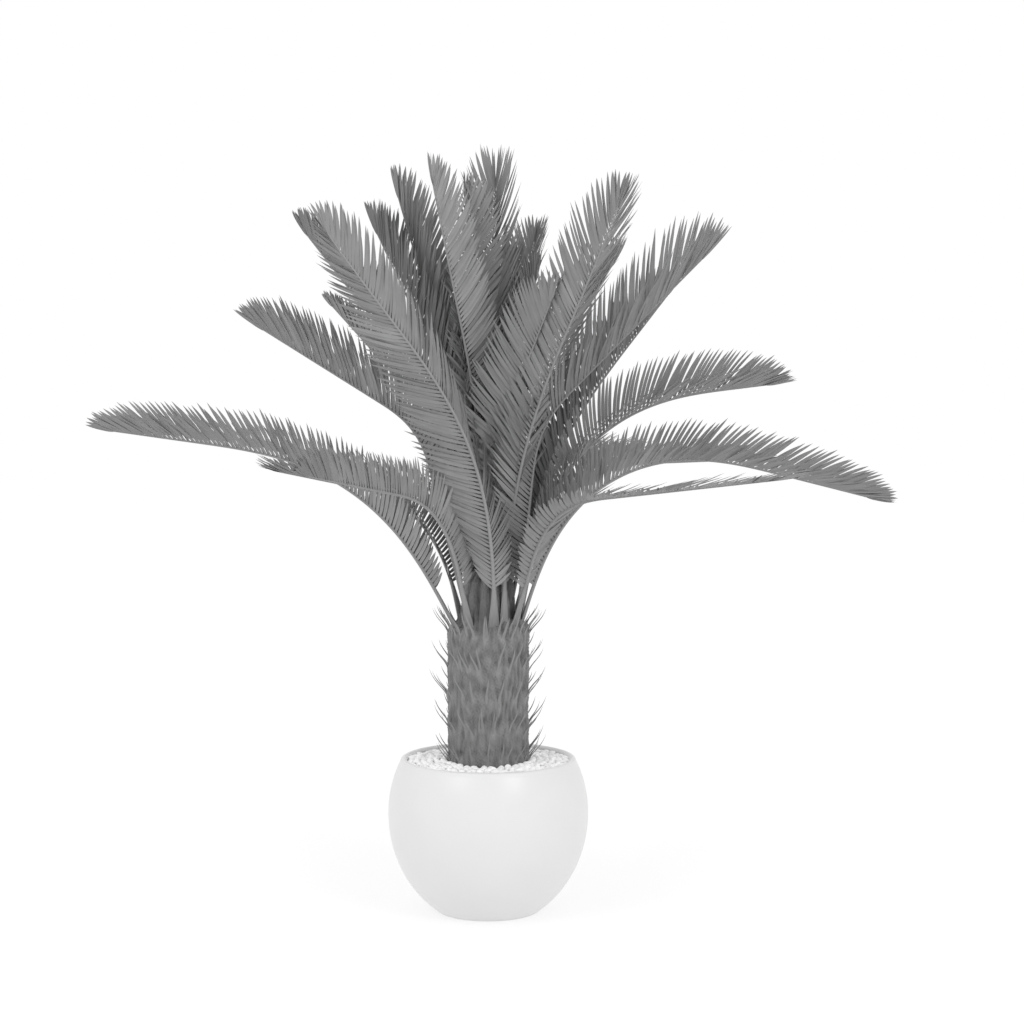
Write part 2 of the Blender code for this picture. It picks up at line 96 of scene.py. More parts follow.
FRONDS = (
    Frond("low_01", "low", 188, -6, 0.66, 62, 8, 0.05, 0.80, -16, 60, 0.072, 2),
    Frond("low_02", "low", 236, 8, 0.57, 72, 9, 0.12, 0.60, 0, 72, 0.064, 2),
    Frond("low_03", "low", 280, -122, 0.70, 72, 53, 0.15, 0.75, 84, 42, 0.088, 2),
    Frond("low_04", "low", 303, -4, 0.55, 90, 52, 0.40, 0.80, 0, 36, 0.085, 2),
    Frond("low_05", "low", 324, -8, 0.63, 72, 7, 0.15, 0.50, 4, 8, 0.064, 2),
    Frond("low_06", "low", 340, 12, 0.68, 84, 45, 0.35, 0.60, 26, 44, 0.108, 2),
    Frond("low_07", "low", 356, -8, 0.69, 72, -14, 0.05, 0.80, 24, 52, 0.071, 2),
    Frond("low_08", "low", 14, 7, 0.65, 78, 6, 0.10, 0.90, 28, 56, 0.080, 2),
    Frond("low_09", "low", 36, 0, 0.60, 74, 0, 0.05, 0.75, 0, 28, 0.078, 1),
    Frond("low_10", "low", 62, 0, 0.60, 76, 0, 0.05, 0.75, 0, 32, 0.080, 1),
    Frond("low_11", "low", 100, 0, 0.60, 76, 2, 0.05, 0.75, 0, 44, 0.085, 2),
    Frond("low_12", "low", 145, 0, 0.50, 73, 7, 0.05, 0.72, 0, 34, 0.075, 1),
    Frond("mid_01", "mid", 187, 0, 0.59, 76, 32, 0.40, 0.65, -20, 66, 0.085, 2),
    Frond("mid_02", "mid", 172, -12, 0.69, 86, 50, 0.30, 0.60, 0, 70, 0.075, 1),
    Frond("mid_03", "mid", 152, 8, 0.64, 90, 63, 0.10, 0.80, 0, 58, 0.088, 1),
    Frond("mid_04", "mid", 135, 8, 0.61, 80, 40, 0.10, 0.80, 0, 66, 0.050, 2),
    Frond("mid_05", "mid", 113, 0, 0.62, 84, 52, 0.15, 0.75, 0, 50, 0.090, 2),
    Frond("mid_06", "mid", 76, -2, 0.68, 88, 50, 0.05, 0.85, 0, 50, 0.085, 0),
    Frond("mid_07", "mid", 50, 0, 0.66, 84, 46, 0.10, 0.80, 0, 54, 0.090, 1),
    Frond("mid_08", "mid", 21, 8, 0.60, 76, 48, 0.05, 0.85, 0, 60, 0.085, 0),
    Frond("mid_09", "mid", 312, -10, 0.70, 84, 54, 0.00, 0.75, -18, 44, 0.088, 2),
    Frond("mid_10", "mid", 94, -28, 0.60, 86, 62, 0.10, 0.80, 0, 50, 0.085, 0),
    Frond("top_01", "top", 157, -13, 0.67, 88, 70, 0.05, 0.70, 0, 60, 0.085, 2),
    Frond("top_02", "top", 233, 6, 0.67, 90, 70, 0.15, 0.70, -4, 56, 0.074, 3),
    Frond("top_03", "top", 88, -8, 0.673, 90, 74, 0.30, 0.90, 0, 50, 0.106, 3),
    Frond("top_04", "top", 52, -6, 0.46, 90, 80, 0.20, 0.80, 0, 50, 0.080, 0),
    Frond("top_05", "top", 14, 0, 0.52, 90, 76, 0.20, 0.80, 0, 50, 0.080, 0),
    Frond("top_06", "top", 124, 0, 0.64, 90, 82, 0.20, 0.80, 0, 46, 0.078, 3),
)

# Leaflet blade: share of its half width at even steps, and its section as shares of the same
LEAFLET_OUTLINE = (0.55, 0.85, 1.0, 1.0, 1.0, 0.95, 0.82, 0.55, 0.04)
RIDGE_HEIGHT = 0.22
MARGIN_DROP = 0.12
LEAFLET_ACROSS = (1.0, 0.5, 0.0, 0.5)
ROOT_SHARE = 0.6
END_SWEEPS = (21.0, 13.0, 5.0)
PALEST = 4

# How leaflets stray from the rule: leaflets in a clump, a clump's degrees and tones, degrees for
# each leaflet, then shares of its length and a twist in radians
CLUMP = 9
CLUMP_LEAN = 1.3
CLUMP_LIFT = 2.2
CLUMP_SHADE = 0.5
LEAN = 1.2
LIFT = 2.0
LENGTH_SPREAD = 0.035
CURL = 0.03
TWIST = 0.16

# Stalk and rib: where the stalk narrows, its grooved section, and its depth along the rib
WAIST_SHARE = 0.35
WAIST_WIDTH = 0.8
RIB_STATIONS = 70
RIB_CROWDING = 0.9
RIB_SECTION = ((1.0, 0.0), (0.75, 0.62), (0.22, 0.78), (0.0, 0.55), (-0.22, 0.78), (-0.75, 0.62),
               (-1.0, 0.0), (-0.7, -0.75), (0.0, -1.0), (0.7, -0.75))
RIB_DEPTH_SHARES = (0.0, 0.12, 1.0)
RIB_DEPTHS = (3.8 * MM, 3.2 * MM, 1.1 * MM)
RIB_PALENESS = 0.65
FOOT_SHARE = 0.09
STREAK_REPEATS = 20

# Trunk tiers and bracts, as in the construction
COLLAR_TIERS = 5
COLLAR_PITCH = 0.049
COLLAR_TOP = 0.452
COLLAR_TEETH = 18
TOOTH_OUT = 0.027
TOOTH_UP = 0.031
TRUNK_FOOT = 0.2248

# Bark: its grid, its profile above the wall, what climbs and folds there, and painted shade at the heart
BARK_ROWS = 240
BARK_COLUMNS = 400
WALL_TOP = 0.436
SHOULDER = ((0.0600, 0.4440), (0.0545, 0.4500), (0.0490, 0.4550), (0.0440, 0.4630), (0.0415, 0.4750),
            (0.0400, 0.4900), (0.0385, 0.5060), (0.0350, 0.5220), (0.0240, 0.5340), (0.0060, 0.5400))
SHEATH_HEIGHT = 9 * MM
SHEATH_WIDTH = 9 * MM
HEART_STALKS = 13
HEART_GROOVE = 5 * MM
HEART_MEAN = 0.6
HEART_TURN = 0.3
HEART_SHADE = 0.1
FLAT_WITHIN = 0.03
FOLD_BEND = 0.09

# Bark round a bract's foot: drop or rise from the bract's level, and size across and along
SWELL_DROP = 9 * MM
SWELL_SIZE = (4.5 * MM, 11 * MM)
POCKET_RISE = 5 * MM
POCKET_SIZE = (6 * MM, 5 * MM)
POCKET_DEPTH = 0.8
# Relief over which the painted shade goes from dark in the hollows to pale on the swells
DARK_TO_PALE = 6 * MM

# Bracts: share with a second one, rings and corners, seat on the bark, and half width along them
BRACT_SEED = 21
PAIRED_SHARE = 0.3
BRACT_STATIONS = 12
BRACT_CORNERS = 6
BRACT_FOOT = 0.017
BRACT_SEAT = 0.7
BRACT_SINK = 2.2 * MM
BRACT_SWAY = 5 * MM
BRACT_SHARES = (0.0, 0.12, 0.45, 0.8, 1.0)
BRACT_HALF_WIDTHS = (1.4 * MM, 2.5 * MM, 1.8 * MM, 1.1 * MM, 0.15 * MM)
BRACT_FLATNESS = 0.45

# Pebbles: a stone's grid, then its bulge, spacing and the layers' drop in shares of its radius,
# the mound's height and the radius that the trunk's bark takes up
STONE_ROWS = 8
STONE_COLUMNS = 12
STONE_BULGE = 0.07
STONE_SPACING = 1.86
STONE_LAYERS = (0.0, 0.9)
STONE_TINTS = (0.9, 1.0, 1.1)
MOUND = 2.5 * MM
TRUNK_EDGE = 0.0655

# Pot: two half ellipses meet at its widest level
POT_COLUMNS = 128
POT_BELLY_LEVEL = 0.155
POT_LOWER_SPAN = 0.180
POT_UPPER_SPAN = 0.171
POT_FLOOR = 0.014
POT_WALL_ROWS = 60
POT_BORE_ROWS = 30
POT_LIP_ROWS = 13
POT_FOOT_ROUND = 1.2 * MM

# Floor, and the camera that sees the plant as the photograph does
FLOOR_CORNERS = 64
FLOOR_DROP = 0.2 * MM
EYE = Vector((0.0374, -3.3, 0.85))
PITCH_DOWN = 3.84
LENS = 74.4
SENSOR = 36.0


# Sizes and colours that a user would change


class FrondSizes(bpy.types.PropertyGroup):
    pitch: FloatProperty(
        name="Leaflet pitch", description="Distance between leaflets along the rib",
        default=6.9 * MM, unit="LENGTH")
    half_width: FloatProperty(
        name="Leaflet half width", description="Half of a leaflet's greatest width",
        default=2.8 * MM, unit="LENGTH")
    foot_width: FloatProperty(
        name="Stalk half width", description="Half width of the stalk where it leaves the trunk",
        default=9.5 * MM, unit="LENGTH")
    rib_width: FloatProperty(
        name="Rib half width", description="Half width of the rib where the leaflets start",
        default=3.0 * MM, unit="LENGTH")
    tip_width: FloatProperty(
        name="Rib tip half width", description="Half width of the rib at its tip",
        default=1.0 * MM, unit="LENGTH")
    darkest: FloatVectorProperty(
        name="Darkest leaf", description="Base colour of the leaflets with tone 0",
        default=(0.14, 0.14, 0.14), subtype="COLOR")
    palest: FloatVectorProperty(
        name="Palest leaf", description="Base colour of the leaflets with tone 4",
        default=(0.30, 0.30, 0.30), subtype="COLOR")


class TrunkSizes(bpy.types.PropertyGroup):
    radius: FloatProperty(
        name="Radius", description="Mean radius of the trunk",
        default=0.0626, unit="LENGTH")
    tier_depth: FloatProperty(
        name="Swelling", description="How far the bark swells round the foot of a bract",
        default=2.6 * MM, unit="LENGTH")
    ridge: FloatProperty(
        name="Roughness", description="Depth of the bark's folds and wrinkles",
        default=1.9 * MM, unit="LENGTH")
    colour: FloatVectorProperty(
        name="Bark", description="Base colour of the bark",
        default=(0.178, 0.178, 0.178), subtype="COLOR")
    bract: FloatVectorProperty(
        name="Bracts", description="Base colour of the pointed bracts",
        default=(0.25, 0.25, 0.25), subtype="COLOR")


class PebbleSizes(bpy.types.PropertyGroup):
    radius: FloatProperty(
        name="Stone radius", description="Mean radius of a pebble",
        default=6.8 * MM, unit="LENGTH")
    level: FloatProperty(
        name="Level", description="Height of the pebbles' middles above the pot's underside",
        default=0.2345, unit="LENGTH")
    rings: IntProperty(
        name="Rings", description="Rows of pebbles between the trunk and the pot", default=6)
    colour: FloatVectorProperty(
        name="Pebbles", description="Base colour of the pebbles",
        default=(0.97, 0.97, 0.97), subtype="COLOR")
    grit: FloatVectorProperty(
        name="Grit", description="Base colour of the filling under the pebbles",
        default=(0.75, 0.75, 0.75), subtype="COLOR")


class PotSizes(bpy.types.PropertyGroup):
    height: FloatProperty(
        name="Height", description="Height of the pot", default=0.242, unit="LENGTH")
    belly: FloatProperty(
        name="Belly radius", description="Greatest radius of the pot",
        default=0.1575, unit="LENGTH")
    wall: FloatProperty(
        name="Wall", description="Thickness of the pot's wall", default=11 * MM, unit="LENGTH")
    lip: FloatProperty(
        name="Lip", description="Height of the rounded lip", default=5 * MM, unit="LENGTH")
    colour: FloatVectorProperty(
        name="Glaze", description="Base colour of the pot",
        default=(0.70, 0.70, 0.70), subtype="COLOR")


class StageSizes(bpy.types.PropertyGroup):
    floor: FloatProperty(
        name="Floor radius", description="Radius of the round floor", default=14.0, unit="LENGTH")
    colour: FloatVectorProperty(
        name="Floor", description="Colour of the floor",
        default=(0.35, 0.35, 0.35), subtype="COLOR")
    glow: FloatProperty(
        name="Floor glow", description="Light that the floor gives off, to match its surroundings",
        default=0.65)


# Shading with Python expressions


class Wire:
    """An output socket of a node tree. Arithmetic on it adds Math nodes."""

    def __init__(self, shading, socket):
        self.shading = shading
        self.socket = socket

    def calc(self, operation, first, second):
        return self.shading.node("ShaderNodeMath", {"operation": operation}, {0: first, 1: second})

    def __add__(self, other):
        return self.calc("ADD", self, other)

    def __radd__(self, other):
        return self.calc("ADD", other, self)

    def __sub__(self, other):
        return self.calc("SUBTRACT", self, other)

    def __rmul__(self, other):
        return self.calc("MULTIPLY", other, self)


class Shading:
    """A material with its Principled shader, built from wires."""

    def __init__(self, name):
        self.material = bpy.data.materials.new(name)
        self.material.use_nodes = True
        self.tree = self.material.node_tree
        self.shader = self.tree.nodes["Principled BSDF"]

    def node(self, kind, settings=None, inputs=None, output=0):
        """Add a node: settings first, then the values or wires of its inputs."""
        made = self.tree.nodes.new(kind)
        for key, value in (settings or {}).items():
            setattr(made, key, value)
        for key, value in (inputs or {}).items():
            self.feed(made.inputs[key], value)
        return Wire(self, made.outputs[output])

    def feed(self, socket, value):
        if isinstance(value, Wire):
            self.tree.links.new(value.socket, socket)
        else:
            socket.default_value = value

    def place(self, kind="Object", scale=(1.0, 1.0, 1.0)):
        """Object or UV coordinates, stretched by a Mapping node."""
        source = self.node("ShaderNodeTexCoord", output=kind)
        return self.node("ShaderNodeMapping", inputs={"Vector": source, "Scale": scale})

    def noise(self, place, scale, detail=2.0, rough=0.5):
        inputs = {"Vector": place, "Scale": scale, "Detail": detail, "Roughness": rough}
        return self.node("ShaderNodeTexNoise", inputs=inputs)

    def mix(self, factor, first, second):
        """Blend two colours by a factor."""
        inputs = {0: factor, 6: first, 7: second}
        return self.node("ShaderNodeMix", {"data_type": "RGBA"}, inputs, output=2)

    def attribute(self, name):
        return self.node("ShaderNodeAttribute", {"attribute_name": name}, output="Fac")

    def bump(self, height, distance, strength):
        inputs = {"Height": height, "Distance": distance, "Strength": strength}
        self.feed(self.shader.inputs["Normal"], self.node("ShaderNodeBump", inputs=inputs))

    def finish(self, **values):
        """Set or link the shader's sockets, whose names have spaces for underscores."""
        for key, value in values.items():
            self.feed(self.shader.inputs[key.replace("_", " ")], value)
        return self.material


def tint(colour, factor):
    """A colour made lighter or darker, with its alpha."""
    return tuple(min(c * factor, 1.0) for c in colour) + (1.0,)


def leaf_material(name, colour):
    """Matt moulded leaf: long streaks and a faint mottle from leaf to leaf."""
    s = Shading(name)
    mottle = s.noise(s.place(), scale=38.0)
    streak = s.noise(s.place("UV", (9.0, 0.8, 1.0)), scale=5.0, detail=3.0)
    lines = s.noise(s.place("UV", (46.0, 0.5, 1.0)), scale=1.0, detail=1.0)
    factor = 0.55 * mottle + 0.45 * streak
    s.bump(lines, distance=0.25 * MM, strength=0.6)
    return s.finish(Base_Color=s.mix(factor, tint(colour, 0.74), tint(colour, 1.27)),
                    Roughness=0.44 + 0.2 * streak, Specular_IOR_Level=0.4)


def rib_material(colour, foot_colour):
    """Paler stalk with streaks along it, as dark as the bark at its foot."""
    s = Shading("rib_grey")
    streak = s.noise(s.place("UV", (14.0, 1.0, 1.0)), scale=3.0, detail=3.0)
    mottle = s.noise(s.place(), scale=60.0)
    s.bump(streak, distance=0.5 * MM, strength=0.5)
    stalk = s.mix(0.6 * streak + 0.4 * mottle, tint(colour, 0.8), tint(colour, 1.3))
    foot = s.mix(streak, tint(foot_colour, 0.6), tint(foot_colour, 1.5))
    return s.finish(Base_Color=s.mix(s.attribute("relief"), foot, stalk),
                    Roughness=0.5 + 0.15 * mottle, Specular_IOR_Level=0.4)


def bark_material(colour):
    """Fibre mat: upright and matted strands, with painted shade darker in the hollows between the bracts."""
    s = Shading("bark_fibre")
    strand = s.noise(s.place(scale=(1.0, 1.0, 0.22)), scale=420.0, detail=4.0, rough=0.6)
    matted = s.noise(s.place(), scale=170.0, detail=5.0, rough=0.65)
    patch = s.noise(s.place(), scale=34.0, detail=3.0)
    # The relief attribute is painted shade: dark in the hollows and towards the crown's heart
    relief = s.attribute("relief")
    fibre = 0.5 * strand + 0.5 * matted
    factor = 0.5 * fibre + 0.3 * patch + 0.6 * relief - 0.19
    s.bump(fibre, distance=2.0 * MM, strength=1.0)
    return s.finish(Base_Color=s.mix(factor, tint(colour, 0.38), tint(colour, 1.75)),
                    Roughness=0.78 + 0.15 * matted, Specular_IOR_Level=0.25)


def bract_material(colour):
    """Pale, dry bract with streaks along it."""
    s = Shading("bract_grey")
    streak = s.noise(s.place("UV", (6.0, 1.0, 1.0)), scale=4.0, detail=3.0)
    s.bump(streak, distance=0.3 * MM, strength=0.5)
    return s.finish(Base_Color=s.mix(streak, tint(colour, 0.7), tint(colour, 1.35)),
                    Roughness=0.55 + 0.2 * streak, Specular_IOR_Level=0.35)


def pebble_material(name, colour):
    """Tumbled white stone with soft clouds and fine pits."""
    s = Shading(name)
    cloud = s.noise(s.place(), scale=90.0, detail=4.0)
    pit = s.noise(s.place(), scale=900.0)
    s.bump(pit, distance=0.2 * MM, strength=0.35)
    return s.finish(Base_Color=s.mix(cloud, tint(colour, 0.86), tint(colour, 1.1)),
                    Roughness=0.42 + 0.2 * cloud, Specular_IOR_Level=0.45)


def glaze_material(colour):
    """Satin white glaze with a barely uneven surface."""
    s = Shading("pot_glaze")
    wave = s.noise(s.place(), scale=16.0)
    grain = s.noise(s.place(), scale=1300.0)
    s.bump(0.7 * wave + 0.3 * grain, distance=0.25 * MM, strength=0.3)
    return s.finish(Base_Color=s.mix(wave, tint(colour, 0.98), tint(colour, 1.02)),
                    Roughness=0.3 + 0.06 * wave, Specular_IOR_Level=0.5)


def filler_material(colour):
    """Pale grit under the pebbles."""
    s = Shading("filler_grit")
    grit = s.noise(s.place(), scale=500.0, detail=4.0, rough=0.7)
    clump = s.noise(s.place(), scale=120.0)
    s.bump(grit, distance=1.5 * MM, strength=1.0)
    return s.finish(Base_Color=s.mix(0.6 * grit + 0.4 * clump, tint(colour, 0.6), tint(colour, 1.2)),
                    Roughness=0.85 + 0.1 * grit)


def floor_material(colour, glow):
    """Matt floor that glows, so that it runs into the white surroundings."""
    s = Shading("floor_paint")
    faint = s.noise(s.place(), scale=3.0)
    return s.finish(Base_Color=s.mix(faint, tint(colour, 0.995), tint(colour, 1.005)), Roughness=0.9,
                    Specular_IOR_Level=0.0, Emission_Color=(1.0, 1.0, 1.0, 1.0), Emission_Strength=glow)


# Meshes from whole arrays


def piece(name, points, faces, materials, slots=None, uv=None, relief=None, sharp=60.0):
    """An object with its mesh from arrays: points, a list of face arrays, and per-face slots."""
    mesh = bpy.data.meshes.new(name)
    corners = np.concatenate([f.ravel() for f in faces]).astype(np.int32)
    sizes = np.concatenate([np.full(len(f), f.shape[1]) for f in faces])
    mesh.vertices.add(len(points))
    mesh.vertices.foreach_set("co", np.asarray(points, np.float32).ravel())
    mesh.loops.add(len(corners))
    mesh.loops.foreach_set("vertex_index", corners)
    mesh.polygons.add(len(sizes))
    mesh.polygons.foreach_set("loop_start", (np.cumsum(sizes) - sizes).astype(np.int32))
    if slots is not None:
        mesh.polygons.foreach_set("material_index", slots.astype(np.int32))
    if uv is not None:
        layer = mesh.uv_layers.new(name="UVMap")
        layer.uv.foreach_set("vector", uv[corners].astype(np.float32).ravel())
    if relief is not None:
        layer = mesh.attributes.new("relief", "FLOAT", "POINT")
        layer.data.foreach_set("value", relief.astype(np.float32).ravel())
    mesh.update(calc_edges=True)
    mesh.polygons.foreach_set("use_smooth", np.ones(len(sizes), bool))
    mesh.set_sharp_from_angle(angle=math.radians(sharp))
    for material in materials:
        mesh.materials.append(material)
    obj = bpy.data.objects.new(name, mesh)
    bpy.context.scene.collection.objects.link(obj)
    return obj


def dress(obj, slot, *nodes):
    """Let a piece ride with the plant and stand for its CAD nodes. The slot is not used."""
    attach(obj, BODY)
    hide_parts(*nodes)


def unit(vectors):
    return vectors / np.linalg.norm(vectors, axis=-1, keepdims=True)


def tube_faces(count, stations, corners):
    """Faces of many closed tubes, each a row of rings: side quads, then a cap at both ends."""
    ring = np.arange(stations - 1)[:, None] * corners
    here = np.arange(corners)[None]
    after = (here + 1) % corners
    sides = np.stack([ring + here, ring + after, ring + corners + after, ring + corners + here], -1)
    sides = sides.reshape(-1, 4)
    first = np.arange(corners)[None, ::-1]
    last = np.arange(corners)[None] + corners * (stations - 1)
    start = np.arange(count)[:, None, None] * stations * corners
    return [(sides[None] + start).reshape(-1, 4), (first[None] + start).reshape(-1, corners),
            (last[None] + start).reshape(-1, corners)]


def turned_faces(rows, columns):
    """Faces of a closed turned surface: quads between rows, and a fan at each of two poles."""
    row = np.arange(rows - 1)[:, None] * columns
    here = np.arange(columns)[None]
    after = (here + 1) % columns
    quads = np.stack([row + here, row + after, row + columns + after, row + columns + here], -1)
    first, last = rows * columns, rows * columns + 1
    here = here[0]
    after = after[0]
    end = (rows - 1) * columns
    low = np.stack([np.full(columns, first), after, here], -1)
    high = np.stack([np.full(columns, last), end + here, end + after], -1)
    return [quads.reshape(-1, 4), low, high]


def waves(rng, count, turns, rises, angle, level):
    """A sum of cosine waves round and along the trunk, scaled to about -1 to 1."""
    total = np.zeros(np.broadcast(angle, level).shape)
    for _ in range(count):
        turn = rng.integers(turns[0], turns[1] + 1)
        rise = rng.uniform(*rises) * rng.choice((-1, 1))
        total += np.cos(turn * angle + rise * level + rng.uniform(0, 2 * math.pi))
    return total / math.sqrt(2 * count)


# Fronds


def rib_line(frond):
    """Share, points and axes (along, side, up) of a rib.

    The rib's elevation turns smoothly from its rise to its droop between two shares of the
    length, its azimuth sways evenly, and each point is the sum of the steps before it.
    """
    share = np.linspace(0.0, 1.0, RIB_STEPS + 1)
    bend = np.clip((share - frond.bend_from) / (frond.bend_to - frond.bend_from), 0.0, 1.0)
    bend = bend * bend * (3.0 - 2.0 * bend)
    elevation = np.radians(frond.rise + (frond.droop - frond.rise) * bend)
    azimuth = np.radians(frond.azimuth + frond.sway * share)
    level = np.cos(elevation)
    along = np.stack([level * np.cos(azimuth), level * np.sin(azimuth), np.sin(elevation)], -1)
    seat = SEATS[frond.seat]
    start = math.radians(frond.azimuth)
    foot = np.array([seat * math.cos(start), seat * math.sin(start), STEP_LEVELS[frond.seat]])
    steps = 0.5 * (along[1:] + along[:-1]) * frond.length / RIB_STEPS
    points = np.vstack([foot, foot + np.cumsum(steps, 0)])
    side = np.stack([-np.sin(azimuth), np.cos(azimuth), 0 * azimuth], -1)
    up = np.cross(along, side)
    turn = np.radians(frond.roll) * np.clip((share - ROLL_FROM) / ROLL_SPAN, 0.0, 1.0)[:, None]
    return (share, points, along, np.cos(turn) * side + np.sin(turn) * up,
            np.cos(turn) * up - np.sin(turn) * side)


def read_line(line, shares):
    """Points and axes of a rib at some shares of its length."""
    steps, *curves = line
    return [np.stack([np.interp(shares, steps, curve[:, k]) for k in range(3)], -1) for curve in curves]


def rib_half_width(sizes, frond, share):
    """Half width of the rib: a wide stalk, then an even taper from the first leaflet on."""
    bare = BARE_LENGTH / frond.length
    shares = [0.0, WAIST_SHARE * bare, bare, 1.0]
    widths = [sizes.foot_width, WAIST_WIDTH * sizes.foot_width, sizes.rib_width, sizes.tip_width]
    return np.interp(share, shares, widths)


def leaflet_sweep(u):
    """Degrees between leaflet and rib: they fall evenly, and faster near the tip."""
    late = np.clip((u - SWEEP_TURN) / (1.0 - SWEEP_TURN), 0.0, 1.0)
    return SWEEPS[0] + (SWEEPS[1] - SWEEPS[0]) * u + (SWEEPS[2] - SWEEPS[1]) * late


def leaflet_length(frond, u):
    """Length: it grows evenly to the frond's reach, and shrinks near the tip by a power."""
    growing = FIRST_LEAFLET + (1.0 - FIRST_LEAFLET) * np.clip(u / FULL_FROM, 0.0, 1.0)
    end = np.clip((u - SHORTER_FROM) / (1.0 - SHORTER_FROM), 0.0, 1.0)
    return frond.reach * growing * (1.0 - (1.0 - LAST_LEAFLET) * end ** SHORTER_POWER)


def leaflet_axes(axes, hand, sweep, fold, twist):
    """Direction, width and face of leaflets on one side of a rib.

    The direction turns from the rib by the sweep and out of the frond's plane by the fold. The
    width lies square to it in the plane of rib and leaflet, the face looks to the frond's upper
    side, and both turn about the direction by the twist. All angles are radians.
    """
    along, side, up = axes
    out = hand * side * np.cos(fold) + up * np.sin(fold)
    direction = along * np.cos(sweep) + out * np.sin(sweep)
    width = unit(along - (along * direction).sum(1, keepdims=True) * direction)
    face = np.cross(direction, width)
    inner = up * np.cos(fold) - hand * side * np.sin(fold)
    flip = np.sign((face * inner).sum(1, keepdims=True))
    width, face = width * flip, face * flip
    return (direction, np.cos(twist) * width + np.sin(twist) * face,
            np.cos(twist) * face - np.sin(twist) * width)


def frond_leaflets(sizes, frond, rng):
    """Points and tones of a frond's leaflets, each a closed blade of four-cornered rings.

    A leaflet leaves the rib's edge in its direction and curves towards the tip, and a little
    towards its face, by the square of its length. Its section is a low ridge between two margins.
    A few more leaflets fan out from the rib's end. Lean, lift and tone vary by clumps of leaflets.
    """
    line = rib_line(frond)
    bare = BARE_LENGTH / frond.length
    rows = round((frond.length - BARE_LENGTH) / sizes.pitch)
    count = rows + len(END_SWEEPS)
    knots = np.arange(0, count + CLUMP, CLUMP)
    k = np.linspace(0.0, 1.0, len(LEAFLET_OUTLINE))
    outline = (np.array(LEAFLET_OUTLINE) * sizes.half_width)[None, :, None]

    def by_clump(spread):
        """A random value for each clump, blended evenly from one to the next."""
        return np.interp(np.arange(count), knots, rng.normal(0, spread, len(knots)))

    points = []
    tones = []
    for hand in (1, -1):
        u = np.append((np.arange(rows) + 0.5 + 0.25 * hand) / rows, np.ones(len(END_SWEEPS)))
        share = bare + u * (1.0 - bare)
        point, *axes = read_line(line, share)
        lean = by_clump(CLUMP_LEAN)
        lift = by_clump(CLUMP_LIFT)
        sweep = np.append(leaflet_sweep(u[:rows]), END_SWEEPS)
        sweep = np.radians(sweep + lean + rng.normal(0, LEAN, count))[:, None]
        fold = np.radians(frond.fold + lift + rng.normal(0, LIFT, count))[:, None]
        length = leaflet_length(frond, u) * (1.0 + rng.normal(0, LENGTH_SPREAD, count))
        twist = rng.normal(0, TWIST, count)[:, None]
        direction, width, face = leaflet_axes(axes, hand, sweep, fold, twist)
        curl = rng.normal(CURL, CURL, count)
        root = point + hand * axes[1] * ROOT_SHARE * rib_half_width(sizes, frond, share)[:, None]
        spine = (direction[:, None] * k[None, :, None]
                 + 0.5 * LEAFLET_CURVE * axes[0][:, None] * k[None, :, None] ** 2
                 + (curl[:, None] * k ** 2)[..., None] * face[:, None])
        spine = root[:, None] + spine * length[:, None, None]
        w = width[:, None] * outline
        f = face[:, None] * outline
        rings = [spine + w - MARGIN_DROP * f, spine + RIDGE_HEIGHT * f, spine - w - MARGIN_DROP * f, spine]
        points.append(np.stack(rings, 2).reshape(count, -1, 3))
        tones.append(np.clip(np.rint(frond.tone + by_clump(CLUMP_SHADE)), 0, PALEST))
    return np.concatenate(points), np.concatenate(tones)


def leaf_tones(sizes):
    """Leaf materials in even steps from the darkest to the palest colour, the darker partly painted shade.
    """
    dark = np.array(sizes.darkest)
    pale = np.array(sizes.palest)
    return [leaf_material("leaf_tone_%d" % k, dark + (pale - dark) * k / PALEST) for k in range(PALEST + 1)]


def make_leaflets(sizes, ring, materials):
    rng = np.random.default_rng(sum(map(ord, ring)))
    parts = [frond_leaflets(sizes, f, rng) for f in FRONDS if f.seat == ring]
    points = np.concatenate([p for p, _ in parts])
    tones = np.concatenate([t for _, t in parts])
    stations = len(LEAFLET_OUTLINE)
    faces = tube_faces(len(points), stations, 4)
    slots = np.concatenate([np.repeat(tones, 4 * (stations - 1)), tones, tones])
    across = np.broadcast_to(LEAFLET_ACROSS, (len(points), stations, 4))
    lengthwise = np.linspace(0, 1, stations)[None, :, None] + np.arange(len(points))[:, None, None]
    uv = np.stack([across, np.broadcast_to(lengthwise, across.shape)], -1).reshape(-1, 2)
    obj = piece("leaflets_" + ring, points.reshape(-1, 3), faces, materials, slots, uv)
    dress(obj, "frond", *[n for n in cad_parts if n.startswith("frond_" + ring)])


